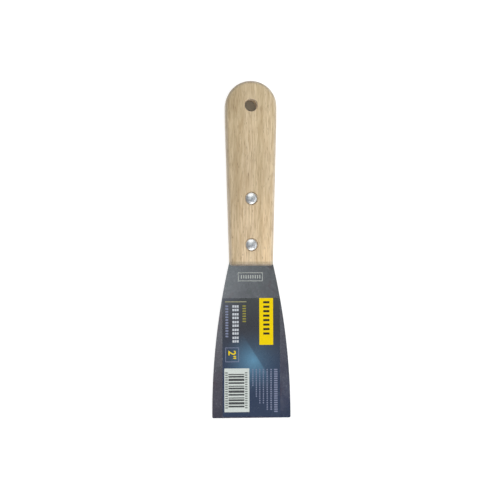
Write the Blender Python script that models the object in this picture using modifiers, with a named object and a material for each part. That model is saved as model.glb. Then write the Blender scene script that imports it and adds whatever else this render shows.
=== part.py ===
"""Flexible putty knife, lying on its back: +Y runs from the blade's tip to the handle's end, +Z is up.

A wooden handle is sawn open from its front end. The tang of the steel blade lies in that
kerf, and two compression rivets, each a male and a female half, clamp the wood onto it.
A film label covers most of the blade's upper face.
"""

import math

import bmesh
import bpy

# Overall sizes, in metres.
TOTAL_LENGTH = 0.214
TIP_Y = -TOTAL_LENGTH / 2
END_Y = TOTAL_LENGTH / 2

# Handle: a slightly tapered slat with a round end.
HANDLE_LENGTH = 0.117
HANDLE_THICKNESS = 0.014
HANDLE_FRONT_HALF_WIDTH = 0.01362
HANDLE_TAPER = math.radians(1.61)
HANDLE_TAPER_RUN = 0.086
HANDLE_BLEND_RADIUS = 0.441
HANDLE_LONG_EDGE_ROUND = 0.0025
HANDLE_FRONT_EDGE_ROUND = 0.0020
HANDLE_FRONT_CORNER_ROUND = 0.0015
HANDLE_FRONT_Y = END_Y - HANDLE_LENGTH
HANDLE_END_RADIUS = (
    HANDLE_FRONT_HALF_WIDTH
    + HANDLE_TAPER_RUN * math.tan(HANDLE_TAPER)
    + HANDLE_BLEND_RADIUS * (1 - math.cos(HANDLE_TAPER))
)
MID_Z = HANDLE_THICKNESS / 2

# Hanging hole through the handle's round end.
HANG_HOLE_DIAMETER = 0.008
HANG_HOLE_FROM_END = 0.0155

# Blade: sides parallel at the tip, then curving in to the shoulders; the tang is a little
# narrower than the handle.
BLADE_WIDTH = 0.050
BLADE_THICKNESS = 0.0008
BLADE_PARALLEL_RUN = 0.0022
BLADE_SIDE_RADIUS = 0.427
BLADE_TIP_CORNER_RADIUS = 0.001
BLADE_TIP_CHAMFER = 0.00025
BLADE_SHOULDER_IN_HANDLE = 0.0022
TANG_LENGTH = 0.051
TANG_CORNER_RADIUS = 0.002

# Neighbouring pieces keep this much clear of each other.
FIT_GAP = 0.0003
KERF_DEPTH = TANG_LENGTH + 0.001

# Rivets: domed heads, sunk in round recesses so that they stay just below the wood.
RIVET_FROM_FRONT = 0.0132
RIVET_SPACING = 0.0293
RIVET_POSITIONS = {
    "lower": HANDLE_FRONT_Y + RIVET_FROM_FRONT,
    "upper": HANDLE_FRONT_Y + RIVET_FROM_FRONT + RIVET_SPACING,
}
RECESS_DIAMETER = 0.0084
RECESS_DEPTH = 0.0015
HEAD_DIAMETER = 0.0074
HEAD_RIM_HEIGHT = 0.00025
HEAD_DOME_RISE = 0.00085
SHANK_DIAMETER = 0.0030
SHANK_LENGTH = 0.0088
BARREL_BORE_DIAMETER = SHANK_DIAMETER + 2 * FIT_GAP
BARREL_DIAMETER = 0.0050
BARREL_LENGTH = 0.0103
BARREL_FLOOR = 0.0013
RIVET_DRILL_DIAMETER = BARREL_DIAMETER + 2 * FIT_GAP

# Label: a thin printed film.
LABEL_WIDTH = 0.0367
LABEL_LENGTH = 0.0753
LABEL_THICKNESS = 0.0001
LABEL_FROM_TIP = 0.001

# Cutters run this far past the faces that they go through.
CUTTER_OVERRUN = 0.002
ROUND_STEPS = 32
SHARP_ANGLE = math.radians(30)


def clear_scene():
    for obj in list(bpy.data.objects):
        bpy.data.objects.remove(obj)


def new_collection(name):
    collection = bpy.data.collections.new(name)
    bpy.context.scene.collection.children.link(collection)
    return collection


def principled(name, color, roughness, metallic):
    material = bpy.data.materials.new(name)
    material.use_nodes = True
    shader = material.node_tree.nodes["Principled BSDF"]
    shader.inputs["Base Color"].default_value = (*color, 1.0)
    shader.inputs["Roughness"].default_value = roughness
    shader.inputs["Metallic"].default_value = metallic
    return material


def arc(center, radius, start, stop, steps):
    """Points on a circle, from one angle to another, both included."""
    angles = [start + (stop - start) * step / steps for step in range(steps + 1)]
    return [(center[0] + radius * math.cos(a), center[1] + radius * math.sin(a)) for a in angles]


def mirrored_outline(right_side):
    """A closed outline from its right side, which runs from the lower to the upper end."""
    left_side = [(-x, y) for x, y in reversed(right_side) if x > 0]
    return right_side + left_side


def shade_walls_smooth(mesh):
    """Smooth upright walls with clear corners, between level faces that stay flat."""
    mesh.shade_smooth()
    mesh.set_sharp_from_angle(angle=SHARP_ANGLE)
    for face in mesh.polygons:
        if abs(face.normal.z) > 0.5:
            face.use_smooth = False


def flat_solid(name, outline, thickness, mid_z, collection):
    """The solid between two copies of an outline, as a mesh with one face on each side."""
    curve = bpy.data.curves.new(name + "_outline", "CURVE")
    curve.dimensions = "2D"
    curve.fill_mode = "BOTH"
    curve.extrude = thickness / 2
    spline = curve.splines.new("POLY")
    spline.points.add(len(outline) - 1)
    for point, (x, y) in zip(spline.points, outline):
        point.co = (x, y, 0, 1)
    spline.use_cyclic_u = True
    helper = bpy.data.objects.new(name + "_outline", curve)
    helper.location.z = mid_z
    bpy.context.scene.collection.objects.link(helper)
    graph = bpy.context.evaluated_depsgraph_get()
    mesh = bpy.data.meshes.new_from_object(helper.evaluated_get(graph))
    mesh.name = name
    bm = bmesh.new()
    bm.from_mesh(mesh)
    bmesh.ops.remove_doubles(bm, verts=bm.verts, dist=1e-6)
    bmesh.ops.dissolve_limit(bm, angle_limit=math.radians(0.1), verts=bm.verts, edges=bm.edges)
    bmesh.ops.recalc_face_normals(bm, faces=bm.faces)
    bm.to_mesh(mesh)
    bm.free()
    shade_walls_smooth(mesh)
    obj = bpy.data.objects.new(name, mesh)
    obj.matrix_world = helper.matrix_world.copy()
    collection.objects.link(obj)
    bpy.data.objects.remove(helper)
    bpy.data.curves.remove(curve)
    return obj


def box(name, size, center, collection):
    mesh = bpy.data.meshes.new(name)
    bm = bmesh.new()
    bmesh.ops.create_cube(bm, size=1.0)
    bmesh.ops.scale(bm, vec=size, verts=bm.verts)
    bm.to_mesh(mesh)
    bm.free()
    obj = bpy.data.objects.new(name, mesh)
    obj.location = center
    collection.objects.link(obj)
    return obj


def cylinder(name, diameter, bottom, top, y, collection):
    mesh = bpy.data.meshes.new(name)
    bm = bmesh.new()
    radius = diameter / 2
    bmesh.ops.create_cone(
        bm, cap_ends=True, segments=ROUND_STEPS, radius1=radius, radius2=radius, depth=top - bottom
    )
    bm.to_mesh(mesh)
    bm.free()
    shade_walls_smooth(mesh)
    obj = bpy.data.objects.new(name, mesh)
    obj.location = (0, y, (top + bottom) / 2)
    collection.objects.link(obj)
    return obj


def turned(name, profile, location, collection):
    """A solid turned about its own Z axis, from a profile that starts and ends on the axis."""
    mesh = bpy.data.meshes.new(name)
    bm = bmesh.new()
    points = [bm.verts.new((x, 0, z)) for x, z in profile]
    for first, second in zip(points, points[1:]):
        bm.edges.new((first, second))
    bm.to_mesh(mesh)
    bm.free()
    obj = bpy.data.objects.new(name, mesh)
    obj.location = location
    screw = obj.modifiers.new("turn", "SCREW")
    screw.steps = ROUND_STEPS
    screw.render_steps = ROUND_STEPS
    screw.use_merge_vertices = True
    screw.merge_threshold = 1e-6
    screw.use_smooth_shade = True
    collection.objects.link(obj)
    return obj


def make_cutter(obj):
    obj.hide_render = True
    obj.display_type = "WIRE"
    return obj


def cut(obj, cutter):
    boolean = obj.modifiers.new("cut_" + cutter.name, "BOOLEAN")
    boolean.operation = "DIFFERENCE"
    boolean.solver = "EXACT"
    boolean.object = cutter


def bevel_by_weight(obj, width, segments, weight_of_edge):
    """Rounds the edges of a mesh, each by its own share of the width."""
    mesh = obj.data
    weights = mesh.attributes.new("bevel_weight_edge", "FLOAT", "EDGE")
    for edge in mesh.edges:
        ends = [mesh.vertices[index].co for index in edge.vertices]
        weights.data[edge.index].value = weight_of_edge(*ends)
    bevel = obj.modifiers.new("rounding", "BEVEL")
    bevel.limit_method = "WEIGHT"
    bevel.width = width
    bevel.segments = segments
    bevel.harden_normals = True


def handle_half_width(y):
    """Half of the handle's width along its straight taper."""
    return HANDLE_FRONT_HALF_WIDTH + (y - HANDLE_FRONT_Y) * math.tan(HANDLE_TAPER)


def handle_outline():
    """Straight taper, a long arc that ends parallel to Y, then half a circle."""
    blend_y = HANDLE_FRONT_Y + HANDLE_TAPER_RUN + HANDLE_BLEND_RADIUS * math.sin(HANDLE_TAPER)
    blend_center = (HANDLE_END_RADIUS - HANDLE_BLEND_RADIUS, blend_y)
    front_corner = (HANDLE_FRONT_HALF_WIDTH, HANDLE_FRONT_Y)
    blend = arc(blend_center, HANDLE_BLEND_RADIUS, -HANDLE_TAPER, 0, 3)
    end_center = (0, END_Y - HANDLE_END_RADIUS)
    end = arc(end_center, HANDLE_END_RADIUS, 0, math.pi / 2, ROUND_STEPS // 4)
    top = (0, END_Y)
    right_side = [front_corner] + blend + end[:-1] + [top]
    return mirrored_outline(right_side)


def handle_edge_share(start, end):
    """Share of the long edges' rounding that an edge of the handle's blank takes."""
    at_front = max(start.y, end.y) < HANDLE_FRONT_Y + FIT_GAP
    upright = abs(start.z - end.z) > HANDLE_THICKNESS / 2
    if at_front and upright:
        return HANDLE_FRONT_CORNER_ROUND / HANDLE_LONG_EDGE_ROUND
    if at_front:
        return HANDLE_FRONT_EDGE_ROUND / HANDLE_LONG_EDGE_ROUND
    return 0.0 if upright else 1.0


def make_handle(parts, cutters, drills):
    handle = flat_solid("handle", handle_outline(), HANDLE_THICKNESS, MID_Z, parts)
    bevel_by_weight(handle, HANDLE_LONG_EDGE_ROUND, 4, handle_edge_share)
    kerf_width = 2 * (HANDLE_END_RADIUS + CUTTER_OVERRUN)
    kerf_height = BLADE_THICKNESS + 2 * FIT_GAP
    kerf_center_y = HANDLE_FRONT_Y + (KERF_DEPTH - CUTTER_OVERRUN) / 2
    kerf_size = (kerf_width, KERF_DEPTH + CUTTER_OVERRUN, kerf_height)
    kerf = make_cutter(box("kerf", kerf_size, (0, kerf_center_y, MID_Z), cutters))
    hole_y = END_Y - HANG_HOLE_FROM_END
    below = -CUTTER_OVERRUN
    above = HANDLE_THICKNESS + CUTTER_OVERRUN
    hole = make_cutter(cylinder("hang_hole", HANG_HOLE_DIAMETER, below, above, hole_y, cutters))
    cut(handle, kerf)
    cut(handle, hole)
    for drill in drills:
        cut(handle, drill)
    for place, y in RIVET_POSITIONS.items():
        recesses = {
            "front": (HANDLE_THICKNESS - RECESS_DEPTH, above),
            "back": (below, RECESS_DEPTH),
        }
        for side, (bottom, top) in recesses.items():
            name = f"{place}_{side}_recess"
            cut(handle, make_cutter(cylinder(name, RECESS_DIAMETER, bottom, top, y, cutters)))
    handle.data.materials.append(principled("handle_wood", (0.60, 0.46, 0.30), 0.6, 0.0))


def blade_outline():
    """Rounded tip corner, parallel run, the long side arc, the shoulder and the tang."""
    half = BLADE_WIDTH / 2
    corner_center = (half - BLADE_TIP_CORNER_RADIUS, TIP_Y + BLADE_TIP_CORNER_RADIUS)
    corner = arc(corner_center, BLADE_TIP_CORNER_RADIUS, -math.pi / 2, 0, 4)
    side_center = (half - BLADE_SIDE_RADIUS, TIP_Y + BLADE_PARALLEL_RUN)
    shoulder_y = HANDLE_FRONT_Y + BLADE_SHOULDER_IN_HANDLE
    side_turn = math.asin((shoulder_y - side_center[1]) / BLADE_SIDE_RADIUS)
    side = arc(side_center, BLADE_SIDE_RADIUS, 0, side_turn, 16)
    tang_start_y = shoulder_y + FIT_GAP
    tang_start = (handle_half_width(tang_start_y) - FIT_GAP, tang_start_y)
    tang_end_y = HANDLE_FRONT_Y + TANG_LENGTH
    tang_end_half = handle_half_width(tang_end_y - TANG_CORNER_RADIUS) - FIT_GAP
    tang_center = (tang_end_half - TANG_CORNER_RADIUS, tang_end_y - TANG_CORNER_RADIUS)
    tang_corner = arc(tang_center, TANG_CORNER_RADIUS, 0, math.pi / 2, 4)
    return mirrored_outline(corner + side + [tang_start] + tang_corner)


def blade_edge_share(start, end):
    """Only the tip's two long edges are ground off."""
    straight_tip_y = TIP_Y + BLADE_TIP_CORNER_RADIUS / 100
    at_tip = max(start.y, end.y) < straight_tip_y
    return 1.0 if at_tip and abs(start.z - end.z) < BLADE_THICKNESS / 2 else 0.0


def make_blade(parts, drills):
    blade = flat_solid("blade", blade_outline(), BLADE_THICKNESS, MID_Z, parts)
    bevel_by_weight(blade, BLADE_TIP_CHAMFER, 1, blade_edge_share)
    for drill in drills:
        cut(blade, drill)
    blade.data.materials.append(principled("blade_steel", (0.22, 0.22, 0.24), 0.25, 1.0))


def dome(under_head):
    """Half section of a domed head, from the top of the dome to the foot of its rim."""
    radius = HEAD_DIAMETER / 2
    sphere = (radius**2 + HEAD_DOME_RISE**2) / (2 * HEAD_DOME_RISE)
    rim_top = under_head + HEAD_RIM_HEIGHT
    center = (0, rim_top + HEAD_DOME_RISE - sphere)
    crown = arc(center, sphere, math.pi / 2, math.acos(radius / sphere), 5)
    return [(0, rim_top + HEAD_DOME_RISE)] + crown[1:] + [(radius, under_head)]


def male_profile():
    shank = SHANK_DIAMETER / 2
    return dome(0.0) + [(shank, 0.0), (shank, -SHANK_LENGTH), (0, -SHANK_LENGTH)]


def female_profile():
    """Head at the bottom and open barrel upwards, so that its outer side runs down."""
    bore = BARREL_BORE_DIAMETER / 2
    barrel = BARREL_DIAMETER / 2
    inside = [(0, BARREL_FLOOR), (bore, BARREL_FLOOR), (bore, BARREL_LENGTH)]
    outside = [(barrel, BARREL_LENGTH), (barrel, 0.0)]
    head = [(x, -z) for x, z in reversed(dome(0.0))]
    return inside + outside + head


def make_rivets(parts):
    metal = principled("rivet_steel", (0.62, 0.64, 0.66), 0.2, 1.0)
    seat = RECESS_DEPTH - FIT_GAP
    for place, y in RIVET_POSITIONS.items():
        front_seat = (0, y, HANDLE_THICKNESS - seat)
        male = turned(f"rivet_{place}_male", male_profile(), front_seat, parts)
        female = turned(f"rivet_{place}_female", female_profile(), (0, y, seat), parts)
        male.data.materials.append(metal)
        female.data.materials.append(metal)


def make_label(parts):
    center_y = TIP_Y + LABEL_FROM_TIP + LABEL_LENGTH / 2
    center_z = MID_Z + BLADE_THICKNESS / 2 + FIT_GAP + LABEL_THICKNESS / 2
    size = (LABEL_WIDTH, LABEL_LENGTH, LABEL_THICKNESS)
    label = box("label", size, (0, center_y, center_z), parts)
    label.data.materials.append(principled("label_film", (0.05, 0.06, 0.10), 0.3, 0.0))


def main():
    clear_scene()
    parts = new_collection("putty_knife")
    cutters = new_collection("cutters")
    drills = [
        make_cutter(
            cylinder(
                f"{place}_rivet_drill",
                RIVET_DRILL_DIAMETER,
                -CUTTER_OVERRUN,
                HANDLE_THICKNESS + CUTTER_OVERRUN,
                y,
                cutters,
            )
        )
        for place, y in RIVET_POSITIONS.items()
    ]
    make_handle(parts, cutters, drills)
    make_blade(parts, drills)
    make_rivets(parts)
    make_label(parts)


main()
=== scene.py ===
import math

import bmesh
import bpy
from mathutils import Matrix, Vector


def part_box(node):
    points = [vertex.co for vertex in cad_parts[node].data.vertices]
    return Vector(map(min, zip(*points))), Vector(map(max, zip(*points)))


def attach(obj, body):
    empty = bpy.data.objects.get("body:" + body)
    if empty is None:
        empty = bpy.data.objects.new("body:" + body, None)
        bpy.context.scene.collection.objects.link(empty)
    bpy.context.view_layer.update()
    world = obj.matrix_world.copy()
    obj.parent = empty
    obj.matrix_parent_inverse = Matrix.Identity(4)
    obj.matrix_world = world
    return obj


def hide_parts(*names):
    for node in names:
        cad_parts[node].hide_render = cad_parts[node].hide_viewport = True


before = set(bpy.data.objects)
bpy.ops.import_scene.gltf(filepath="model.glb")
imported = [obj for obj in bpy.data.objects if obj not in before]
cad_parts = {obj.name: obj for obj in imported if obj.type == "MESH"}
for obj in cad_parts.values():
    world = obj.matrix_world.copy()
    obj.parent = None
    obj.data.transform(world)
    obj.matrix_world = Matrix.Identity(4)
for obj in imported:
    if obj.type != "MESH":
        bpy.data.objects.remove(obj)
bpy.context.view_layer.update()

# Lengths are in metres, except where a comment says millimetres.
MM = 0.001
ROUND_STEPS = 96
SHARP_ANGLE = math.radians(32)
MERGE_DISTANCE = 1e-7
CUTTER_OVERRUN = 0.002

# Places that every piece follows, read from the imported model.
HANDLE_LOW, HANDLE_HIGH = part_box("handle")
BLADE_LOW, BLADE_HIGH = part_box("blade")
LABEL_LOW, LABEL_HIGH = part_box("label")
FRONT_Y = HANDLE_LOW.y
END_Y = HANDLE_HIGH.y
TIP_Y = BLADE_LOW.y
MID_Z = (HANDLE_LOW.z + HANDLE_HIGH.z) / 2
BLADE_TOP = BLADE_HIGH.z

# Handle.
TAPER = math.radians(1.61)
TAPER_RUN = 0.086
FRONT_HALF_WIDTH = 0.01362
END_RADIUS = HANDLE_HIGH.x
BLEND_RADIUS = 0.441
LONG_EDGE_ROUND = 0.0025
FRONT_EDGE_ROUND = 0.0020
FRONT_CORNER_ROUND = 0.0015
FRONT_EDGE_REACH = 0.0003
HANG_HOLE_RADIUS = 0.004
HANG_HOLE_Y = END_Y - 0.0155
HOLE_RIM = 0.0003
RECESS_RIM = 0.00012
KERF_PAST_TANG = 0.001
KERF_CUTTER_HALF_WIDTH = 0.02

# Blade.
BLADE_HALF_WIDTH = BLADE_HIGH.x
SIDE_RADIUS = 0.427
PARALLEL_RUN = 0.0022
TIP_CORNER_RADIUS = 0.001
SHOULDER_IN_HANDLE = 0.0022
TANG_INSET = 0.0002
TANG_CORNER_RADIUS = 0.002
BLADE_EDGE_BREAK = 0.00018
TIP_CHAMFER = 0.00025
SLOT_CLEARANCE = 0.00003
ETCH_THICKNESS = 0.00002

# Rivets. A head's dome reaches to a share of its radius, and its edge is then rounded through
# points at a share of the radius and a drop below the dome's end.
HEAD_RADIUS = 0.0037
RECESS_RADIUS = 0.0042
RECESS_DEPTH = 0.0015
DOME_RISE = 0.00085
DOME_REACH = 0.96
HEAD_EDGE_ROUND = ((0.985, 0.00004), (1.0, 0.00016))
RIM_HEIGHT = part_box("rivet_lower_male")[1].z - (HANDLE_HIGH.z - RECESS_DEPTH) - DOME_RISE
SHANK_RADIUS = 0.0015
SHANK_LENGTH = 0.008
BARREL_RADIUS = 0.0025
BARREL_LENGTH = 0.0095
BARREL_FLOOR = 0.002
BARREL_CLEARANCE = 0.00005

# Label print: each layer of ink is a thin plate on the film.
FILM_GAP = 0.00002
FILM_THICKNESS = 0.0001
INK_THICKNESS = 0.00003
FILM_TOP = BLADE_TOP + FILM_GAP + FILM_THICKNESS
INK_ROUGHNESS = 0.4
# Where the film's painted highlight lies, and the slanting facet edge that cuts it.
HIGHLIGHT_CENTER = (0.0015, TIP_Y + 0.0365)
HIGHLIGHT_REACH = 0.0215
HIGHLIGHT_SLANT = 0.628
HIGHLIGHT_FACET = 0.0035
HIGHLIGHT_FACET_BLUR = 0.0004

# Places on the label in millimetres: left and right sides, then the reach below its top edge.
YELLOW_PLATE = (5.2, 14.0), (0.0, 29.8)
PLATE_BARS = (7.7, 11.7), (2.0, 23.3)
TITLE = (-11.95, -8.0), (4.5, 28.2)
RULE = (-16.6, -3.0), (2.05, 2.55)
SIDE_NOTE = (-16.4, -14.6), (4.6, 24.8)
ACCENT = (-5.5, -3.3), (4.6, 15.2)
TITLE_BLOCK_GAP, TITLE_COLUMN_GAP, TITLE_BAR_GAP = 1.2, 0.25, 0.8
SIZE_BOX = (-16.5, -7.9), (31.4, 40.6)
SIZE_BOX_LINE = 0.35
SIZE_NUMBER_HEIGHT = 6.6
SIZE_NUMBER_SHIFT = -0.3
SIZE_NUMBER_BOLDNESS = 0.08

# The stripe panel and the small print beside it, in millimetres: sides, and Y from high to low.
PANEL = (-17.2, -1.3), (-75.4, -103.2)
STRIPE_WIDTHS = (1.1, 1.0, 1.9, 1.2, 2.6, 1.3, 1.9, 2.0) * 3
STRIPE_MARGINS = (2.6, 3.2), (3.5, 1.9)
TICK_COUNT, TICK_GAP, TICK_MARGIN = 16, 0.7, 2.4
LEFT_TICKS_INSETS, RIGHT_TICKS_INSETS = (0.5, 2.2), (2.8, 1.2)
SMALL_PRINT_START = -75.9
DASH, DASH_GAP = 0.85, 0.55
SMALL_PRINT_LINES = (  # left, right, length
    (0.6, 1.3, 11.0),
    (2.8, 3.5, 18.5),
    (5.0, 5.7, 22.0),
    (7.3, 8.0, 22.4),
    (9.7, 10.5, 27.0),
    (12.1, 13.1, 27.2),
    (14.5, 16.7, 28.0),
)

# The etched box in millimetres: sides, reach below the handle's front, line, and margins.
ETCHED_BOX = (-8.3, 7.45), (4.4, 9.9)
ETCHED_LINE = 0.36
ETCHED_MARGINS = (1.9, 1.5), (1.6, 1.7)
ETCHED_STROKES, ETCHED_GAP = 9, 0.85

# Stage. The floor's painted shadow and its fade to white are distances from the hanging hole.
FLOOR_HALF_WIDTH = 6
FLOOR_THICKNESS = 0.01
HOLE_SHADE = (0.008, 0.012)
FLOOR_FADE = (0.4, 1.5)
WARM_WHITE = (1.0, 0.98, 0.94)
LAMPS_AIM = (0, 0, 0.01)
SENSOR_WIDTH_MM = 36.0
LENS_MM = 100.0
VIEW_WIDTH = 0.31835


def linear(red, green, blue):
    """Scene-linear colour from 8-bit sRGB values."""
    values = [channel / 255 for channel in (red, green, blue)]
    return [v / 12.92 if v <= 0.04045 else ((v + 0.055) / 1.055) ** 2.4 for v in values] + [1.0]


# Tones of the wood's grain.
WOOD_DARK, WOOD_LIGHT = linear(209, 187, 152), linear(231, 209, 176)
STREAK_DARK, STREAK_LIGHT = linear(186, 156, 118), linear(240, 218, 186)
FIBRE = linear(170, 139, 103)
PORE = linear(134, 104, 76)
FLECK = linear(116, 90, 66)
# The hole's wall: freshly drilled wood, made paler still as painted light.
DRILLED_WOOD_AND_PAINTED_LIGHT = linear(238, 222, 196)

# Tints of the wood: painted shade on its left, painted light on its right and in a band near its
# front, paler along its front with painted shade on the front edge, darker towards its end, a
# painted bluish reflection on rounded edges, darker end grain with painted shade and reflection
# where rounded, and late wood.
PAINTED_SHADE_LEFT = (0.82, 0.81, 0.77, 1.0)
PAINTED_LIGHT_RIGHT = (1.05, 1.05, 1.04, 1.0)
PAINTED_LIGHT_BAND = (1.09, 1.08, 1.07, 1.0)
PALE_FRONT = (1.08, 1.08, 1.07, 1.0)
PAINTED_SHADE_FRONT = (0.70, 0.72, 0.74, 1.0)
DARKER_TOWARD_END = (0.84, 0.86, 0.83, 1.0)
PAINTED_REFLECTION_EDGE = (0.91, 0.96, 1.10, 1.0)
END_GRAIN = (0.80, 0.77, 0.74, 1.0)
PAINTED_SHADE_AND_REFLECTION_END = (0.78, 0.79, 0.84, 1.0)
LATE_WOOD = (0.80, 0.76, 0.71, 1.0)

# Growth rings on the end grain.
PITH = (0.012, 0.0, -0.030)
RING_PITCH = 0.0019
RING_WANDER = 0.0015

# Metals.
STEEL_DARK, STEEL_LIGHT = linear(172, 175, 179), linear(192, 195, 198)
STAIN_RED, STAIN_GREEN = linear(174, 148, 152), linear(150, 170, 160)
SCRATCH = linear(225, 228, 230)
SPECK = linear(235, 238, 240)
NICKEL_DARK, NICKEL_LIGHT = linear(216, 222, 226), linear(242, 244, 246)
ETCH_DARK, ETCH_LIGHT = linear(178, 184, 180), linear(204, 210, 206)

# Film, from the blade's tip to its neck, and inks, each in two close tones.
NAVY_LOW, NAVY_MIDDLE, NAVY_HIGH = linear(49, 62, 86), linear(58, 60, 66), linear(65, 69, 71)
NAVY_CORNER = linear(82, 86, 95)
# The film's painted highlight.
PAINTED_HIGHLIGHT = linear(92, 141, 172)
INK_TONES = {
    "yellow": (linear(238, 208, 0), linear(246, 215, 0)),
    "white": (linear(188, 194, 202), linear(206, 211, 217)),
    "pale": (linear(204, 212, 208), linear(215, 222, 218)),
    "grey": (linear(120, 127, 154), linear(136, 143, 168)),
    "olive": (linear(142, 136, 66), linear(156, 150, 74)),
    "straw": (linear(160, 158, 122), linear(170, 168, 134)),
    "black": (linear(46, 44, 32), linear(62, 59, 44)),
    "dark_grey": (linear(66, 69, 70), linear(86, 89, 90)),
    "mid_grey": (linear(112, 118, 116), linear(130, 136, 134)),
}

# Studio: the floor's paper, its painted shadow below the hanging hole, and the walls.
PAPER_DARK, PAPER_LIGHT = linear(166, 166, 166), linear(174, 174, 174)
PAINTED_SHADOW_BELOW_HOLE = linear(162, 158, 147)
DIM_GLOW_IN_PAINTED_SHADOW = (0.010, 0.004, 0.001, 1.0)
GLOW_OF_TABLE = (0.75, 0.75, 0.75, 1.0)
WHITE = (1.0, 1.0, 1.0, 1.0)
WALL_LEFT, WALL_RIGHT = (0.10, 0.10, 0.11, 1.0), (0.38, 0.38, 0.38, 1.0)

# The ceiling that level steel mirrors: its tones from above the tip to above the neck.
CEILING_LEFT = ((0.05, 0.03, 0.03), (0.25, 0.18, 0.19), (0.42, 0.43, 0.46), (0.73, 0.79, 0.81))
CEILING_RIGHT = ((0.0, 0.05, 0.18), (0.13, 0.12, 0.20), (0.31, 0.29, 0.29), (0.01, 0.02, 0.0))

# Where the world's tones change, along the parts of a direction of length 1.
HORIZON = (0.12, 0.26)
CEILING_RIM = (0.88, 0.96)
WALL_TURN = (-0.5, 0.2)
CEILING_LENGTH = (-0.12, -0.012)
CEILING_TURN = (0.050, 0.070)


# Geometry helpers ---------------------------------------------------------------------------


def arc(center, radius, start, stop, steps):
    """Points on a circle, from one angle to another, both included."""
    angles = [start + (stop - start) * step / steps for step in range(steps + 1)]
    return [(center[0] + radius * math.cos(a), center[1] + radius * math.sin(a)) for a in angles]


def mirrored_outline(right_side):
    """A whole outline from its right side, mirrored about X = 0."""
    left_side = [(-x, y) for x, y in reversed(right_side) if x > 0]
    return right_side + left_side


def link(name, mesh):
    """An object of this mesh, linked to the scene."""
    obj = bpy.data.objects.new(name, mesh)
    bpy.context.scene.collection.objects.link(obj)
    return obj


def prism(name, outline, bottom, top):
    """The solid between two level copies of an outline that runs counterclockwise."""
    mesh = bpy.data.meshes.new(name)
    bm = bmesh.new()
    base = bm.faces.new([bm.verts.new((x, y, bottom)) for x, y in outline])
    grown = bmesh.ops.extrude_face_region(bm, geom=[base])
    lifted = [item for item in grown["geom"] if isinstance(item, bmesh.types.BMVert)]
    bmesh.ops.translate(bm, vec=(0, 0, top - bottom), verts=lifted)
    bmesh.ops.recalc_face_normals(bm, faces=bm.faces)
    bm.to_mesh(mesh)
    bm.free()
    return link(name, mesh)


def turned(name, profile, location):
    """A solid turned about Z, from a profile that starts and ends on the axis."""
    mesh = bpy.data.meshes.new(name)
    bm = bmesh.new()
    points = [bm.verts.new((x, 0, z)) for x, z in profile]
    for first, second in zip(points, points[1:]):
        bm.edges.new((first, second))
    bmesh.ops.spin(
        bm,
        geom=bm.verts[:] + bm.edges[:],
        axis=(0, 0, 1),
        cent=(0, 0, 0),
        steps=ROUND_STEPS,
        angle=math.tau,
    )
    bmesh.ops.remove_doubles(bm, verts=bm.verts, dist=MERGE_DISTANCE)
    bmesh.ops.recalc_face_normals(bm, faces=bm.faces)
    bm.to_mesh(mesh)
    bm.free()
    obj = link(name, mesh)
    obj.location = location
    return obj


def bevel_by_weight(obj, width, share_of_edge, segments):
    """Rounds the edges of a mesh, each by its own share of the width."""
    mesh = obj.data
    weights = mesh.attributes.new("bevel_weight_edge", "FLOAT", "EDGE")
    for edge in mesh.edges:
        ends = [mesh.vertices[index].co for index in edge.vertices]
        weights.data[edge.index].value = share_of_edge(*ends)
    bevel = obj.modifiers.new("rounding", "BEVEL")
    bevel.limit_method = "WEIGHT"
    bevel.width = width
    bevel.segments = segments


def cut(obj, cutter):
    """Takes the cutter's shape out of the object."""
    boolean = obj.modifiers.new("cut", "BOOLEAN")
    boolean.operation = "DIFFERENCE"
    boolean.solver = "EXACT"
    boolean.object = cutter


def settle(obj, cutters=()):
    """Applies the modifiers, removes the cutters and shades the result smooth with clear edges."""
    graph = bpy.context.evaluated_depsgraph_get()
    mesh = bpy.data.meshes.new_from_object(obj.evaluated_get(graph))
    obj.modifiers.clear()
    obj.data = mesh
    for cutter in cutters:
        bpy.data.objects.remove(cutter)
    mesh.shade_smooth()
    mesh.set_sharp_from_angle(angle=SHARP_ANGLE)
    weighted = obj.modifiers.new("flat_faces_first", "WEIGHTED_NORMAL")
    weighted.keep_sharp = True
    return obj


def add_ring(bm, ring, bottom, top):
    """A flat rectangular ring, from (left, right, low, high, line width) in metres."""
    left, right, low, high, line = ring
    levels = []
    for z in (bottom, top):
        for inset in (0.0, line):
            corners = (
                (left + inset, low + inset),
                (right - inset, low + inset),
                (right - inset, high - inset),
                (left + inset, high - inset),
            )
            levels.append([bm.verts.new((x, y, z)) for x, y in corners])
    outer_low, inner_low, outer_top, inner_top = levels
    for start in range(4):
        end = (start + 1) % 4
        for first, second in (
            (outer_top, inner_top),
            (inner_low, outer_low),
            (outer_low, outer_top),
            (inner_top, inner_low),
        ):
            bm.faces.new((first[start], first[end], second[end], second[start]))


def plates(name, rectangles, bottom, thickness, rings=()):
    """Thin level plates, each from (left, right, low, high) in metres, and rings, as one mesh."""
    mesh = bpy.data.meshes.new(name)
    bm = bmesh.new()
    for ring in rings:
        add_ring(bm, ring, bottom, bottom + thickness)
    for left, right, low, high in rectangles:
        made = bmesh.ops.create_cube(bm, size=1.0)
        bmesh.ops.scale(bm, vec=(right - left, high - low, thickness), verts=made["verts"])
        middle = ((left + right) / 2, (low + high) / 2, bottom + thickness / 2)
        bmesh.ops.translate(bm, vec=middle, verts=made["verts"])
    bm.to_mesh(mesh)
    bm.free()
    return link(name, mesh)


def finish_piece(obj, material, slot, *nodes):
    """Gives a piece its material, attaches it to the root body and hides the nodes it replaces. The
    slot is not used.
    """
    obj.data.materials.clear()
    obj.data.materials.append(material)
    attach(obj, "root")
    if nodes:
        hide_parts(*nodes)
    return obj


# Material helpers ---------------------------------------------------------------------------


def new_material(name):
    """A material and its Principled shader."""
    material = bpy.data.materials.new(name)
    material.use_nodes = True
    return material, material.node_tree.nodes["Principled BSDF"]


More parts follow.
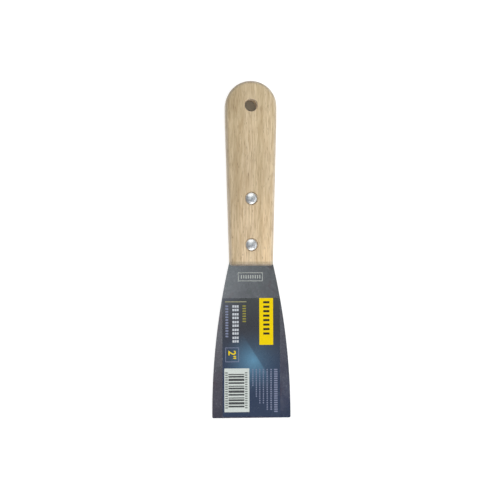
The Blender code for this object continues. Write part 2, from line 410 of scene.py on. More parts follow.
def add(tree, kind, inputs, **settings):
    """A node with its settings, whose inputs are values or other nodes' outputs."""
    node = tree.nodes.new(kind)
    for key, value in settings.items():
        setattr(node, key, value)
    for key, value in inputs.items():
        if isinstance(value, bpy.types.NodeSocket):
            tree.links.new(value, node.inputs[key])
        else:
            node.inputs[key].default_value = value
    return node


def place(tree):
    """The point on the surface, in the row frame."""
    return tree.nodes.new("ShaderNodeTexCoord").outputs["Object"]


def stretched_noise(tree, cycles_per_metre, detail=2.0, roughness=0.5, distortion=0.0, shift=0.0):
    """Noise between 0 and 1 with its own pitch along X, Y and Z."""
    mapping = add(
        tree,
        "ShaderNodeMapping",
        {"Vector": place(tree), "Scale": cycles_per_metre, "Location": (shift, shift, shift)},
    )
    noise = add(
        tree,
        "ShaderNodeTexNoise",
        {
            "Vector": mapping.outputs["Vector"],
            "Scale": 1.0,
            "Detail": detail,
            "Roughness": roughness,
            "Distortion": distortion,
        },
    )
    return noise.outputs["Fac"]


def span(tree, value, low, high, out_low=0.0, out_high=1.0):
    """Maps a value from one range to another, clamped."""
    node = add(
        tree,
        "ShaderNodeMapRange",
        {"Value": value, "From Min": low, "From Max": high, "To Min": out_low, "To Max": out_high},
    )
    return node.outputs["Result"]


def soft_span(tree, value, low, high):
    """Maps a range to 0 to 1 with eased ends, clamped."""
    node = add(
        tree,
        "ShaderNodeMapRange",
        {"Value": value, "From Min": low, "From Max": high},
        interpolation_type="SMOOTHSTEP",
    )
    return node.outputs["Result"]


def blend(tree, factor, first, second, kind="MIX"):
    """Colour mix; first and second are colours or outputs."""
    node = tree.nodes.new("ShaderNodeMix")
    node.data_type = "RGBA"
    node.blend_type = kind
    color_inputs = (node.inputs[0], node.inputs[6], node.inputs[7])
    for socket, value in zip(color_inputs, (factor, first, second)):
        if isinstance(value, bpy.types.NodeSocket):
            tree.links.new(value, socket)
        else:
            socket.default_value = value
    return node.outputs[2]


def tinted(tree, color, factor, tint):
    """The colour, multiplied by a tint as far as the factor says."""
    return blend(tree, factor, color, tint, "MULTIPLY")


def shaded(tree, color, shade):
    """The colour, multiplied by a brightness."""
    inputs = {"Red": shade, "Green": shade, "Blue": shade}
    gray = add(tree, "ShaderNodeCombineColor", inputs).outputs["Color"]
    return tinted(tree, color, 1.0, gray)


def ramp(tree, value, *colors):
    """Colours at even steps of a value from 0 to 1, blended in between."""
    node = add(tree, "ShaderNodeValToRGB", {"Fac": value})
    steps = node.color_ramp.elements
    last = len(colors) - 1
    for index in range(1, last):
        steps.new(index / last)
    for step, color in zip(steps, colors):
        step.color = (*color, 1)
    return node.outputs["Color"]


def calculate(tree, operation, *values):
    """One step of arithmetic on values or outputs."""
    node = tree.nodes.new("ShaderNodeMath")
    node.operation = operation
    for socket, value in zip(node.inputs, values):
        if isinstance(value, bpy.types.NodeSocket):
            tree.links.new(value, socket)
        else:
            socket.default_value = value
    return node.outputs["Value"]


def product(tree, first, second):
    """Two values or outputs, multiplied."""
    return calculate(tree, "MULTIPLY", first, second)


def distance(tree, position, point):
    """How far a position is from a fixed point."""
    node = add(tree, "ShaderNodeVectorMath", {0: position, 1: point}, operation="DISTANCE")
    return node.outputs["Value"]


def axis_value(tree, axis):
    """One coordinate of the point on the surface."""
    return add(tree, "ShaderNodeSeparateXYZ", {"Vector": place(tree)}).outputs[axis]


def bump(tree, height, strength, depth):
    """A normal that follows a height between 0 and 1, for a relief of the given depth."""
    inputs = {"Height": height, "Strength": strength, "Distance": depth}
    node = add(tree, "ShaderNodeBump", inputs)
    return node.outputs["Normal"]


# Materials ----------------------------------------------------------------------------------


def wood_material():
    """Pale open-pored hardwood: grain along Y, thin dark pores, duller end grain, satin finish."""
    material, shader = new_material("pale_hardwood")
    tree = material.node_tree
    streaks = stretched_noise(
        tree, (1150, 80, 1150), detail=2, roughness=0.55, distortion=0.3, shift=3.1
    )
    fibres = stretched_noise(tree, (2900, 130, 2900), detail=2, shift=7.7)
    pores = span(tree, stretched_noise(tree, (2900, 200, 2900), detail=1, shift=5.9), 0.64, 0.70)
    clouds = stretched_noise(tree, (95, 40, 95), detail=3, shift=1.3)

    color = grain_color(tree, streaks, fibres, pores)
    color = shaded(tree, color, span(tree, clouds, 0.32, 0.68, 0.92, 1.04))
    color = board_color(tree, color)
    color = end_grain_and_painted_light(tree, color, clouds)
    tree.links.new(color, shader.inputs["Base Color"])

    tree.links.new(span(tree, fibres, 0.3, 0.7, 0.46, 0.62), shader.inputs["Roughness"])
    grooves = product(tree, pores, -1.0)
    relief = calculate(tree, "ADD", product(tree, streaks, 0.5), grooves)
    tree.links.new(bump(tree, relief, strength=0.6, depth=0.00006), shader.inputs["Normal"])
    shader.inputs["Specular IOR Level"].default_value = 0.45
    shader.inputs["Sheen Weight"].default_value = 0.25
    shader.inputs["Sheen Roughness"].default_value = 0.4
    return material


def grain_color(tree, streaks, fibres, pores):
    """The grain of the wood before the board's own tints."""
    rings = stretched_noise(tree, (310, 8, 240), detail=3, distortion=0.5)
    fleck_rows = stretched_noise(tree, (2300, 300, 2300), detail=0, shift=9.2)
    flecks = span(tree, fleck_rows, 0.76, 0.82)
    color = blend(tree, span(tree, rings, 0.36, 0.64), WOOD_DARK, WOOD_LIGHT)
    color = blend(tree, span(tree, streaks, 0.44, 0.66, 0.0, 0.50), color, STREAK_DARK)
    color = blend(tree, span(tree, streaks, 0.44, 0.30, 0.0, 0.40), color, STREAK_LIGHT)
    color = blend(tree, span(tree, fibres, 0.50, 0.68, 0.0, 0.40), color, FIBRE)
    color = blend(tree, product(tree, pores, 0.45), color, PORE)
    return blend(tree, product(tree, flecks, 0.5), color, FLECK)


def board_color(tree, color):
    """Painted shade darkens the board's left and painted light brightens its right, most of all
    near its front; painted shade darkens its front edge.
    """
    x = axis_value(tree, "X")
    from_front = calculate(tree, "SUBTRACT", axis_value(tree, "Y"), FRONT_Y)
    on_left = soft_span(tree, x, -0.0060, -0.0118)
    on_right = soft_span(tree, x, 0.0, 0.0045)
    band_left = soft_span(tree, x, 0.0045, 0.0080)
    band_right = soft_span(tree, x, 0.0128, 0.0105)
    band_length = soft_span(tree, from_front, 0.055, 0.030)
    light_band = product(tree, product(tree, band_left, band_right), band_length)
    near_front = soft_span(tree, from_front, 0.035, 0.0)
    front_edge = span(tree, from_front, 0.0029, 0.0021)
    # Painted shade on the left, painted light on the right and in a band near the front.
    color = tinted(tree, color, on_left, PAINTED_SHADE_LEFT)
    color = tinted(tree, color, on_right, PAINTED_LIGHT_RIGHT)
    color = tinted(tree, color, light_band, PAINTED_LIGHT_BAND)
    color = tinted(tree, color, near_front, PALE_FRONT)
    # Painted shade on the rounded front edge.
    return tinted(tree, color, front_edge, PAINTED_SHADE_FRONT)


def end_grain_and_painted_light(tree, color, clouds):
    """Wood is darker and greyer towards the hanging end and end grain is darker; rounded edges, the
    rounded end and the hole's wall get painted reflection, shade and light.
    """
    toward_end = span(tree, axis_value(tree, "Y"), FRONT_Y, END_Y)
    color = tinted(tree, color, toward_end, DARKER_TOWARD_END)

    normal = tree.nodes.new("ShaderNodeTexCoord").outputs["Normal"]
    facing = add(tree, "ShaderNodeSeparateXYZ", {"Vector": normal}).outputs
    level = calculate(tree, "ABSOLUTE", facing["Z"])
    below_flat = span(tree, level, 0.99, 0.75)
    above_upright = span(tree, level, 0.15, 0.45)
    # Painted bluish reflection on the rounded edges.
    color = tinted(tree, color, product(tree, below_flat, above_upright), PAINTED_REFLECTION_EDGE)

    from_hole = distance(tree, place(tree), (0, HANG_HOLE_Y, MID_Z))
    outside_hole = span(tree, from_hole, 0.0085, 0.0095)
    in_hole = span(tree, outside_hole, 1.0, 0.0)
    drilled = product(tree, in_hole, span(tree, level, 0.5, 0.2))
    # The hole's wall: freshly drilled wood, made paler still as painted light.
    color = blend(tree, drilled, color, DRILLED_WOOD_AND_PAINTED_LIGHT)

    across_grain = span(tree, calculate(tree, "ABSOLUTE", facing["Y"]), 0.2, 0.9)
    end_grain = product(tree, across_grain, outside_hole)
    rounded = span(tree, level, 0.2, 0.5)
    # End grain is darker; where it is rounded, the tint is painted shade and a painted bluish-grey
    # reflection.
    end_tint = blend(tree, rounded, END_GRAIN, PAINTED_SHADE_AND_REFLECTION_END)
    color = tinted(tree, color, end_grain, end_tint)
    late_wood = product(tree, growth_arcs(tree, clouds), end_grain)
    return tinted(tree, color, late_wood, LATE_WOOD)


def growth_arcs(tree, waviness):
    """Growth rings about a pith that lies beside the board, parallel to its length."""
    section = add(tree, "ShaderNodeMapping", {"Vector": place(tree), "Scale": (1, 0, 1)})
    from_pith = distance(tree, section.outputs["Vector"], PITH)
    radius = calculate(tree, "ADD", from_pith, product(tree, waviness, RING_WANDER))
    wave = calculate(tree, "SINE", product(tree, radius, math.tau / RING_PITCH))
    return soft_span(tree, wave, 0.1, 0.9)


def steel_material():
    """Polished spring steel: faint stains, dusty specks, fine grinding lines, few scratches."""
    material, shader = new_material("polished_spring_steel")
    tree = material.node_tree
    clouds = stretched_noise(tree, (90, 60, 90), detail=4, roughness=0.6)
    mottle = stretched_noise(tree, (750, 750, 750), detail=2, shift=8.8)
    stains = stretched_noise(tree, (160, 110, 160), detail=2, shift=4.4)
    specks = span(tree, stretched_noise(tree, (1300, 1300, 1300), detail=0, shift=3.3), 0.73, 0.80)
    grind = stretched_noise(tree, (60, 3800, 60), detail=2, shift=2.2)
    fine = stretched_noise(tree, (900, 900, 900), detail=3, shift=6.1)
    scratches = scratch_lines(tree)

    color = blend(tree, span(tree, clouds, 0.3, 0.7), STEEL_DARK, STEEL_LIGHT)
    color = shaded(tree, color, span(tree, mottle, 0.34, 0.66, 0.94, 1.06))
    color = blend(tree, span(tree, stains, 0.58, 0.72, 0.0, 0.40), color, STAIN_RED)
    color = blend(tree, span(tree, stains, 0.42, 0.28, 0.0, 0.40), color, STAIN_GREEN)
    color = blend(tree, product(tree, scratches, 0.25), color, SCRATCH)
    color = blend(tree, product(tree, specks, 0.4), color, SPECK)
    tree.links.new(color, shader.inputs["Base Color"])

    dust = product(tree, specks, 0.15)
    tree.links.new(calculate(tree, "SUBTRACT", 1.0, dust), shader.inputs["Metallic"])
    worn = product(tree, calculate(tree, "MAXIMUM", scratches, specks), 0.06)
    rough = calculate(tree, "ADD", span(tree, clouds, 0.3, 0.7, 0.13, 0.18), worn)
    tree.links.new(rough, shader.inputs["Roughness"])
    relief = calculate(tree, "ADD", grind, product(tree, fine, 0.4))
    tree.links.new(bump(tree, relief, strength=0.12, depth=0.00002), shader.inputs["Normal"])
    return material


def scratch_lines(tree):
    """Sparse hairlines in three directions."""
    total = None
    for turn, shift in ((0.35, 1.7), (1.25, 8.3), (-0.6, 5.2)):
        turned_place = add(
            tree,
            "ShaderNodeMapping",
            {"Vector": place(tree), "Rotation": (0, 0, turn), "Location": (shift, shift, 0)},
        )
        stretched = add(
            tree,
            "ShaderNodeMapping",
            {"Vector": turned_place.outputs["Vector"], "Scale": (3600, 110, 100)},
        )
        noise = add(
            tree,
            "ShaderNodeTexNoise",
            {"Vector": stretched.outputs["Vector"], "Scale": 1.0, "Detail": 1.0},
        )
        line = span(tree, noise.outputs["Fac"], 0.74, 0.80)
        total = line if total is None else calculate(tree, "MAXIMUM", total, line)
    return total


def rivet_material():
    """Nickel-plated steel: bright, a little cloudy, with faint handling marks."""
    material, shader = new_material("nickel_plated_steel")
    tree = material.node_tree
    haze = stretched_noise(tree, (1700, 1700, 1700), detail=3)
    marks = scratch_lines(tree)
    color = blend(tree, span(tree, haze, 0.35, 0.65), NICKEL_DARK, NICKEL_LIGHT)
    tree.links.new(color, shader.inputs["Base Color"])
    shader.inputs["Metallic"].default_value = 0.85
    rough = calculate(tree, "ADD", span(tree, haze, 0.3, 0.7, 0.30, 0.40), marks)
    tree.links.new(calculate(tree, "MINIMUM", rough, 0.5), shader.inputs["Roughness"])
    tree.links.new(bump(tree, haze, strength=0.3, depth=0.00002), shader.inputs["Normal"])
    return material


def film_material():
    """Glossy navy film with a painted soft blue highlight below its middle."""
    material, shader = new_material("navy_film")
    tree = material.node_tree
    across = span(tree, axis_value(tree, "X"), LABEL_LOW.x, LABEL_HIGH.x)
    along = span(tree, axis_value(tree, "Y"), LABEL_LOW.y, LABEL_HIGH.y)
    corner = product(tree, soft_span(tree, along, 0.72, 1.0), soft_span(tree, across, 0.45, 0.0))
    mottle = stretched_noise(tree, (1500, 1500, 1500), detail=2)

    color = blend(tree, soft_span(tree, along, 0.36, 0.82), NAVY_LOW, NAVY_MIDDLE)
    color = blend(tree, soft_span(tree, along, 0.78, 1.0), color, NAVY_HIGH)
    color = blend(tree, corner, color, NAVY_CORNER)
    # Painted highlight on the film.
    color = blend(tree, film_painted_highlight(tree), color, PAINTED_HIGHLIGHT)
    color = shaded(tree, color, span(tree, mottle, 0.3, 0.7, 0.92, 1.08))
    tree.links.new(color, shader.inputs["Base Color"])

    smudges = stretched_noise(tree, (120, 90, 120), detail=3)
    tree.links.new(span(tree, smudges, 0.3, 0.7, 0.20, 0.32), shader.inputs["Roughness"])
    ripple = stretched_noise(tree, (260, 160, 260), detail=1, shift=2.0)
    tree.links.new(bump(tree, ripple, strength=0.2, depth=0.00004), shader.inputs["Normal"])
    return material


def film_painted_highlight(tree):
    """A painted highlight: a round falloff that a slanting facet cuts on its right."""
    from_x = calculate(tree, "SUBTRACT", axis_value(tree, "X"), HIGHLIGHT_CENTER[0])
    from_y = calculate(tree, "SUBTRACT", axis_value(tree, "Y"), HIGHLIGHT_CENTER[1])
    squares = [calculate(tree, "POWER", value, 2.0) for value in (from_x, from_y)]
    radius = calculate(tree, "SQRT", calculate(tree, "ADD", *squares))
    glow = calculate(tree, "POWER", span(tree, radius, HIGHLIGHT_REACH, 0.0), 1.8)
    slant = calculate(tree, "ADD", from_x, product(tree, from_y, HIGHLIGHT_SLANT))
    edge = (HIGHLIGHT_FACET + HIGHLIGHT_FACET_BLUR, HIGHLIGHT_FACET - HIGHLIGHT_FACET_BLUR)
    return product(tree, glow, span(tree, slant, *edge, 0.42, 1.0))


def ink_material(name, color, other):
    """Printed ink: two close tones in a fine screen."""
    material, shader = new_material(name)
    tree = material.node_tree
    screen = stretched_noise(tree, (1900, 1900, 1900), detail=2)
    tone = blend(tree, span(tree, screen, 0.35, 0.65), color, other)
    tree.links.new(tone, shader.inputs["Base Color"])
    rough = span(tree, screen, 0.3, 0.7, INK_ROUGHNESS - 0.05, INK_ROUGHNESS + 0.05)
    tree.links.new(rough, shader.inputs["Roughness"])
    shader.inputs["Specular IOR Level"].default_value = 0.15
    return material


def etch_material():
    """Etched steel: matt and pale beside the polished plate."""
    material, shader = new_material("etched_steel")
    tree = material.node_tree
    grain = stretched_noise(tree, (2400, 2400, 2400), detail=2)
    tone = blend(tree, span(tree, grain, 0.3, 0.7), ETCH_DARK, ETCH_LIGHT)
    tree.links.new(tone, shader.inputs["Base Color"])
    shader.inputs["Metallic"].default_value = 0.3
    tree.links.new(span(tree, grain, 0.3, 0.7, 0.55, 0.7), shader.inputs["Roughness"])
    return material


# Pieces -------------------------------------------------------------------------------------


def handle_half_width(y):
    """Half the width of the handle's tapered front part."""
    return FRONT_HALF_WIDTH + (y - FRONT_Y) * math.tan(TAPER)


def handle_edge_share(start, end):
    """Share of the long edges' rounding that an edge of the handle's blank takes."""
    at_front = max(start.y, end.y) < FRONT_Y + FRONT_EDGE_REACH
    upright = abs(start.z - end.z) > MID_Z
    if at_front and upright:
        return FRONT_CORNER_ROUND / LONG_EDGE_ROUND
    if at_front:
        return FRONT_EDGE_ROUND / LONG_EDGE_ROUND
    return 0.0 if upright else 1.0


def rim_profile(radius, depth, above, rim):
    """Section of a round cutter with a flared rim at height 0, from the axis above to the floor."""
    flare = arc((radius + rim, -rim), rim, math.pi / 2, math.pi, steps=4)
    return [(0, above), (radius + rim, above)] + flare + [(radius, -depth), (0, -depth)]


def through_hole(y):
    """A cutter for the hanging hole, with both rims broken."""
    half = HANDLE_HIGH.z / 2
    upper = rim_profile(HANG_HOLE_RADIUS, half, CUTTER_OVERRUN, HOLE_RIM)[:-2]
    upper = [(x, z + half) for x, z in upper]
    lower = [(x, -z) for x, z in reversed(upper)]
    return turned("hang_hole", upper + lower, (0, y, MID_Z))


def recess(y, face_z, side):
    """A cutter for a rivet's recess in the front face (side 1) or in the back face (side -1)."""
    profile = rim_profile(RECESS_RADIUS, RECESS_DEPTH, CUTTER_OVERRUN, RECESS_RIM)
    profile = [(x, side * z) for x, z in profile]
    return turned("recess", profile if side > 0 else profile[::-1], (0, y, face_z))


def kerf():
    """A cutter for the slot that holds the tang, open at the front and at both sides."""
    half = (BLADE_HIGH.z - BLADE_LOW.z) / 2 + SLOT_CLEARANCE
    opening = (
        -KERF_CUTTER_HALF_WIDTH,
        KERF_CUTTER_HALF_WIDTH,
        FRONT_Y - CUTTER_OVERRUN,
        BLADE_HIGH.y + KERF_PAST_TANG,
    )
    return plates("kerf", [opening], MID_Z - half, 2 * half)


def make_handle(rivet_places):
    """A tapered slat with a round end, a kerf, a hanging hole and a recess for each rivet head."""
    blend_y = FRONT_Y + TAPER_RUN + BLEND_RADIUS * math.sin(TAPER)
    side = [(FRONT_HALF_WIDTH, FRONT_Y)]
    side += arc((END_RADIUS - BLEND_RADIUS, blend_y), BLEND_RADIUS, -TAPER, 0, steps=6)
    end = arc((0, END_Y - END_RADIUS), END_RADIUS, 0, math.pi / 2, steps=ROUND_STEPS // 4)
    outline = mirrored_outline(side + end[:-1] + [(0, END_Y)])
    handle = prism("handle_slat", outline, HANDLE_LOW.z, HANDLE_HIGH.z)
    bevel_by_weight(handle, LONG_EDGE_ROUND, handle_edge_share, segments=8)

    cutters = [kerf(), through_hole(HANG_HOLE_Y)]
    for y in rivet_places:
        cutters.append(recess(y, HANDLE_HIGH.z, 1))
        cutters.append(recess(y, HANDLE_LOW.z, -1))
    for cutter in cutters:
        cut(handle, cutter)
    settle(handle, cutters)
    return finish_piece(handle, wood_material(), "handle_wood", "handle")


def blade_edge_share(start, end):
    """The tip's long edges are ground more than the others, and upright edges aren't."""
    if abs(start.z - end.z) > BLADE_EDGE_BREAK:
        return 0.0
    at_tip = max(start.y, end.y) < TIP_Y + BLADE_EDGE_BREAK
    return 1.0 if at_tip else BLADE_EDGE_BREAK / TIP_CHAMFER


def make_blade():
    """A thin plate that narrows in an arc to the handle, with its tang in the kerf."""
    half = BLADE_HALF_WIDTH
    corner_center = (half - TIP_CORNER_RADIUS, TIP_Y + TIP_CORNER_RADIUS)
    corner = arc(corner_center, TIP_CORNER_RADIUS, -math.pi / 2, 0, steps=8)
    side_center = (half - SIDE_RADIUS, TIP_Y + PARALLEL_RUN)
    shoulder_y = FRONT_Y + SHOULDER_IN_HANDLE
    side_turn = math.asin((shoulder_y - side_center[1]) / SIDE_RADIUS)
    side = arc(side_center, SIDE_RADIUS, 0, side_turn, steps=40)
    tang_start = (handle_half_width(shoulder_y) - TANG_INSET, shoulder_y + TANG_INSET)
    tang_half = handle_half_width(BLADE_HIGH.y - TANG_CORNER_RADIUS) - TANG_INSET
    tang_center = (tang_half - TANG_CORNER_RADIUS, BLADE_HIGH.y - TANG_CORNER_RADIUS)
    tang_corner = arc(tang_center, TANG_CORNER_RADIUS, 0, math.pi / 2, steps=8)
    outline = mirrored_outline(corner + side + [tang_start] + tang_corner)
    blade = prism("blade_plate", outline, BLADE_LOW.z, BLADE_HIGH.z)
    bevel_by_weight(blade, TIP_CHAMFER, blade_edge_share, segments=2)
    settle(blade)
    return finish_piece(blade, steel_material(), "blade_steel", "blade")


def head_profile():
    """Section of a domed head, from the top of the dome to the foot of its rounded rim."""
    sphere = (HEAD_RADIUS**2 + DOME_RISE**2) / (2 * DOME_RISE)
    top = RIM_HEIGHT + DOME_RISE
    dome_end = math.acos(HEAD_RADIUS * DOME_REACH / sphere)
    crown = arc((0, top - sphere), sphere, math.pi / 2, dome_end, steps=20)
    rim_z = crown[-1][1]
    rounded = [(HEAD_RADIUS * share, rim_z - drop) for share, drop in HEAD_EDGE_ROUND]
    return [(0, top)] + crown[1:] + rounded + [(HEAD_RADIUS, 0.0)]


def make_rivets(rivet_places):
    """Each rivet is a front half with a solid shank and a back half with a hollow barrel."""
    metal = rivet_material()
    recess_floor = HANDLE_HIGH.z - RECESS_DEPTH
    shank = [(SHANK_RADIUS, 0.0), (SHANK_RADIUS, -SHANK_LENGTH), (0, -SHANK_LENGTH)]
    bore = SHANK_RADIUS + BARREL_CLEARANCE
    barrel = [(0, BARREL_FLOOR), (bore, BARREL_FLOOR), (bore, BARREL_LENGTH)]
    barrel += [(BARREL_RADIUS, BARREL_LENGTH), (BARREL_RADIUS, 0.0)]
    head = [(x, -z) for x, z in reversed(head_profile())]
    for place_name, y in rivet_places.items():
        front = head_profile() + shank
        male = turned(f"rivet_{place_name}_front", front, (0, y, recess_floor))
        female = turned(f"rivet_{place_name}_back", barrel + head, (0, y, RECESS_DEPTH))
        finish_piece(settle(male), metal, "rivet_steel", f"rivet_{place_name}_male")
        finish_piece(settle(female), metal, "rivet_steel", f"rivet_{place_name}_female")


def spread(start, stop, lengths, gap):
    """Stretches of the given relative lengths between start and stop, with even gaps."""
    room = abs(stop - start) - gap * (len(lengths) - 1)
    way = 1 if stop > start else -1
    unit = room / sum(lengths)
    stretches = []
    at = start
    for length in lengths:
        end = at + way * length * unit
        stretches.append((min(at, end), max(at, end)))
        at = end + way * gap
    return stretches


def column(left, right, start, stop, lengths, gap):
    """A column of plain bars, which stands in for a line of small print."""
    return [(left, right, low, high) for low, high in spread(start, stop, lengths, gap)]


def on_label(layout):
    """Left, right, high and low sides in metres of a place on the label."""
    (left, right), (start, stop) = layout
    return left * MM, right * MM, LABEL_HIGH.y - start * MM, LABEL_HIGH.y - stop * MM


def print_plate(layout):
    """One plate that fills a place on the label."""
    left, right, high, low = on_label(layout)
    return [(left, right, low, high)]


def print_bars(layout, count, gap):
    """A column of even bars in a place on the label, with gaps in millimetres."""
    return column(*on_label(layout), (1,) * count, gap * MM)


def make_print(name, rectangles, ink, layer=0, rings=()):
    """One colour of print, on the film or on the layers of ink below it."""
    bottom = FILM_TOP + layer * INK_THICKNESS
    piece = plates(name, rectangles, bottom, INK_THICKNESS, rings)
    return finish_piece(piece, ink, "label_film")


def make_label():
    """The film and its print, in which plain bars and blocks stand in for all lettering."""
    whole = (LABEL_LOW.x, LABEL_HIGH.x, LABEL_LOW.y, LABEL_HIGH.y)
    film = plates("label_film", [whole], BLADE_TOP + FILM_GAP, FILM_THICKNESS)
    finish_piece(film, film_material(), "label_film", "label")

    inks = {tone: ink_material(f"{tone}_ink", *tones) for tone, tones in INK_TONES.items()}
    make_print("label_plate", print_plate(YELLOW_PLATE), inks["yellow"])
    make_print("label_plate_bars", print_bars(PLATE_BARS, 8, gap=1.45), inks["black"], layer=1)
    make_title(inks["white"])
    make_print("label_rule", print_plate(RULE), inks["straw"])
    make_print("label_side_note", print_bars(SIDE_NOTE, 12, gap=0.7), inks["grey"])
    make_print("label_accent", print_bars(ACCENT, 7, gap=0.8), inks["olive"])
    make_size_mark(inks)
    make_stripe_panel(inks)
    make_small_print(inks["grey"])


def make_title(ink):
    """Five blocks, each of three bars by two."""
    left, right, high, low = on_label(TITLE)
    title = []
    for start, stop in spread(high, low, (1,) * 5, TITLE_BLOCK_GAP * MM):
        for sides in spread(left, right, (1,) * 3, TITLE_COLUMN_GAP * MM):
            title += column(*sides, stop, start, (1,) * 2, TITLE_BAR_GAP * MM)
    make_print("label_title_blocks", title, ink)


def make_size_mark(inks):
    """The nominal width in inches, in an outlined box."""
    left, right, high, low = on_label(SIZE_BOX)
    ring = (left, right, low, high, SIZE_BOX_LINE * MM)
    make_print("label_size_box", [], inks["grey"], rings=[ring])
    text = bpy.data.curves.new("label_size_number", "FONT")
    text.body = '2"'
    text.size = SIZE_NUMBER_HEIGHT * MM
    text.extrude = INK_THICKNESS / 2
    text.offset = SIZE_NUMBER_BOLDNESS * MM
    text.align_x = "CENTER"
    text.align_y = "CENTER"
    number = bpy.data.objects.new("label_size_number", text)
    bpy.context.scene.collection.objects.link(number)
    number.rotation_euler = (0, 0, -math.pi / 2)
    middle_x = (left + right) / 2 + SIZE_NUMBER_SHIFT * MM
    number.location = (middle_x, (low + high) / 2, FILM_TOP + INK_THICKNESS / 2)
    finish_piece(number, inks["yellow"], "label_film")


def make_stripe_panel(inks):
    """A pale panel with an even rhythm of dark bars, between two columns of ticks."""
    (left, right), (high, low) = [[value * MM for value in pair] for pair in PANEL]
    make_print("label_panel", [(left, right, low, high)], inks["pale"])
    (in_left, in_right), (in_high, in_low) = STRIPE_MARGINS
    bars = spread(high - in_high * MM, low + in_low * MM, STRIPE_WIDTHS, 0.0)[::2]
    sides = (left + in_left * MM, right - in_right * MM)
    stripes = [(*sides, start, stop) for start, stop in bars]
    make_print("label_stripes", stripes, inks["dark_grey"], layer=1)

    tick_reach = (high - TICK_MARGIN * MM, low + TICK_MARGIN * MM)
    tick_spread = ((1,) * TICK_COUNT, TICK_GAP * MM)
    left_sides = [left + inset * MM for inset in LEFT_TICKS_INSETS]
    right_sides = [right - inset * MM for inset in RIGHT_TICKS_INSETS]
    ticks = column(*left_sides, *tick_reach, *tick_spread)
    ticks += column(*right_sides, *tick_reach, *tick_spread)
    make_print("label_panel_ticks", ticks, inks["mid_grey"], layer=1)


def make_small_print(ink):
    """Short dashes in place of seven lines of small print."""
    start = SMALL_PRINT_START * MM
    dash, gap = DASH * MM, DASH_GAP * MM
    bars = []
    for left, right, length in SMALL_PRINT_LINES:
        count = round(length * MM / (dash + gap))
        stop = start - count * (dash + gap) + gap
        bars += column(left * MM, right * MM, start, stop, (1,) * count, gap)
    make_print("label_small_print", bars, ink)


def make_etched_mark():
    """A plain outlined box with a row of strokes, etched in the blade below the handle."""
    (left, right), (from_front, to_front) = [[v * MM for v in pair] for pair in ETCHED_BOX]
    high, low = FRONT_Y - from_front, FRONT_Y - to_front
    (in_left, in_right), (in_high, in_low) = [[v * MM for v in pair] for pair in ETCHED_MARGINS]
    outline = (left, right, low, high, ETCHED_LINE * MM)
    strokes = spread(left + in_left, right - in_right, (1,) * ETCHED_STROKES, ETCHED_GAP * MM)
    lines = [(start, stop, low + in_low, high - in_high) for start, stop in strokes]
    mark = plates("etched_mark", lines, BLADE_TOP, ETCH_THICKNESS, [outline])
    return finish_piece(mark, etch_material(), "blade_steel")


# Stage --------------------------------------------------------------------------------------


def make_floor():
    """A pale table, lit from within like a light table, with a painted shadow below the hanging
    hole.
    """
    sides = (-FLOOR_HALF_WIDTH, FLOOR_HALF_WIDTH)
    floor = plates("floor", [sides * 2], -FLOOR_THICKNESS, FLOOR_THICKNESS)
    material, shader = new_material("pale_floor")
    tree = material.node_tree
    paper = stretched_noise(tree, (300, 300, 300), detail=2)
    from_hole = distance(tree, place(tree), (0, HANG_HOLE_Y, 0))
    beyond_hole = span(tree, from_hole, *HOLE_SHADE)
    tone = blend(tree, paper, PAPER_DARK, PAPER_LIGHT)
    # Painted shadow: darker, warmer paper below the hanging hole.
    tone = blend(tree, beyond_hole, PAINTED_SHADOW_BELOW_HOLE, tone)
    tree.links.new(tone, shader.inputs["Base Color"])
    shader.inputs["Roughness"].default_value = 0.9
    shader.inputs["Specular IOR Level"].default_value = 0.1
    # Painted shadow: the glow is dimmed below the hanging hole.
    near_glow = blend(tree, beyond_hole, DIM_GLOW_IN_PAINTED_SHADOW, GLOW_OF_TABLE)
    glow = blend(tree, soft_span(tree, from_hole, *FLOOR_FADE), near_glow, WHITE)
    tree.links.new(glow, shader.inputs["Emission Color"])
    shader.inputs["Emission Strength"].default_value = 1.0
    floor.data.materials.append(material)


def make_world():
    """White at the horizon, dimmer walls above it, and a ceiling in tones of its own."""
    world = bpy.data.worlds.new("studio")
    bpy.context.scene.world = world
    world.use_nodes = True
    tree = world.node_tree
    direction = tree.nodes.new("ShaderNodeTexCoord").outputs["Generated"]
    parts = add(tree, "ShaderNodeSeparateXYZ", {"Vector": direction}).outputs
    side = blend(tree, soft_span(tree, parts["X"], *WALL_TURN), WALL_LEFT, WALL_RIGHT)
    wall = blend(tree, soft_span(tree, parts["Z"], *HORIZON), WHITE, side)
    along = span(tree, parts["Y"], *CEILING_LENGTH)
    on_left = ramp(tree, along, *CEILING_LEFT)
    on_right = ramp(tree, along, *CEILING_RIGHT)
    ceiling = blend(tree, soft_span(tree, parts["X"], *CEILING_TURN), on_left, on_right)
    tone = blend(tree, soft_span(tree, parts["Z"], *CEILING_RIM), wall, ceiling)
    tree.links.new(tone, tree.nodes["Background"].inputs["Color"])
    tree.nodes["Background"].inputs["Strength"].default_value = 1.0


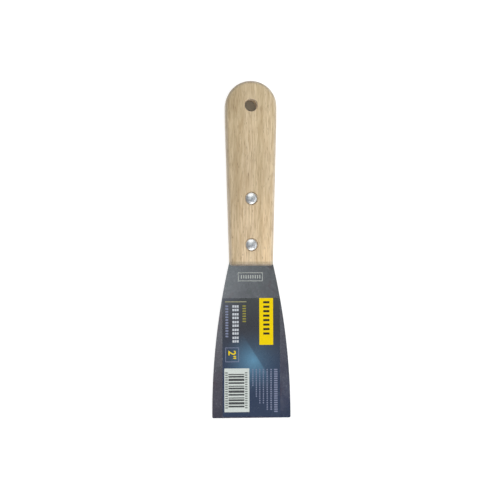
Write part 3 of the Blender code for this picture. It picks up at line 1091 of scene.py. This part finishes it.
def softbox(name, location, size, radiance, color=(1, 1, 1)):
    """A rectangular lamp that faces the knife, with the given brightness of its face."""
    lamp = bpy.data.lights.new(name, "AREA")
    lamp.shape = "RECTANGLE"
    lamp.size, lamp.size_y = size
    lamp.energy = radiance * math.pi * size[0] * size[1]
    lamp.color = color
    obj = bpy.data.objects.new(name, lamp)
    bpy.context.scene.collection.objects.link(obj)
    obj.location = location
    aim = Vector(LAMPS_AIM) - Vector(location)
    obj.rotation_euler = aim.to_track_quat("-Z", "Y").to_euler()
    obj.visible_camera = False
    return obj


def make_lights():
    """Small lamps that the domed rivets mirror, and a broad one that lights the tops."""
    softbox("front_softbox", (0.10, -0.76, 0.86), (0.8, 0.26), radiance=3.7, color=WARM_WHITE)
    softbox("back_softbox", (-0.05, 0.65, 0.95), (0.8, 0.36), radiance=2.4, color=WARM_WHITE)
    softbox("right_softbox", (0.95, -0.20, 0.60), (0.6, 0.6), radiance=1.8)
    overhead = softbox("overhead_softbox", (0.0, 0.0, 1.3), (0.9, 0.9), radiance=2.7)
    overhead.visible_glossy = False


def make_camera():
    """A long lens that looks down on the knife, leaning a little to its left."""
    lean_left = math.radians(4.0)
    roll = math.radians(-0.2)
    half_view = math.atan(SENSOR_WIDTH_MM / 2 / LENS_MM)
    away = VIEW_WIDTH / 2 / math.tan(half_view)
    target = Vector((-0.00055, 0.00013, MID_Z))
    back = Vector((-math.sin(lean_left), 0, math.cos(lean_left)))
    data = bpy.data.cameras.new("camera")
    data.lens = LENS_MM
    data.sensor_width = SENSOR_WIDTH_MM
    data.clip_start = 0.01
    data.clip_end = 50
    camera = bpy.data.objects.new("camera", data)
    bpy.context.scene.collection.objects.link(camera)
    camera.location = target + back * away
    camera.rotation_euler = (0, -lean_left, roll)
    bpy.context.scene.camera = camera


def main():
    """Builds every piece and the stage."""
    lower_y = sum(corner.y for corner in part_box("rivet_lower_male")) / 2
    upper_y = sum(corner.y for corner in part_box("rivet_upper_male")) / 2
    rivet_places = {"lower": lower_y, "upper": upper_y}
    make_handle(rivet_places.values())
    make_blade()
    make_rivets(rivet_places)
    make_label()
    make_etched_mark()
    make_floor()
    make_world()
    make_lights()
    make_camera()
    bpy.context.scene.view_settings.view_transform = "Standard"


main()
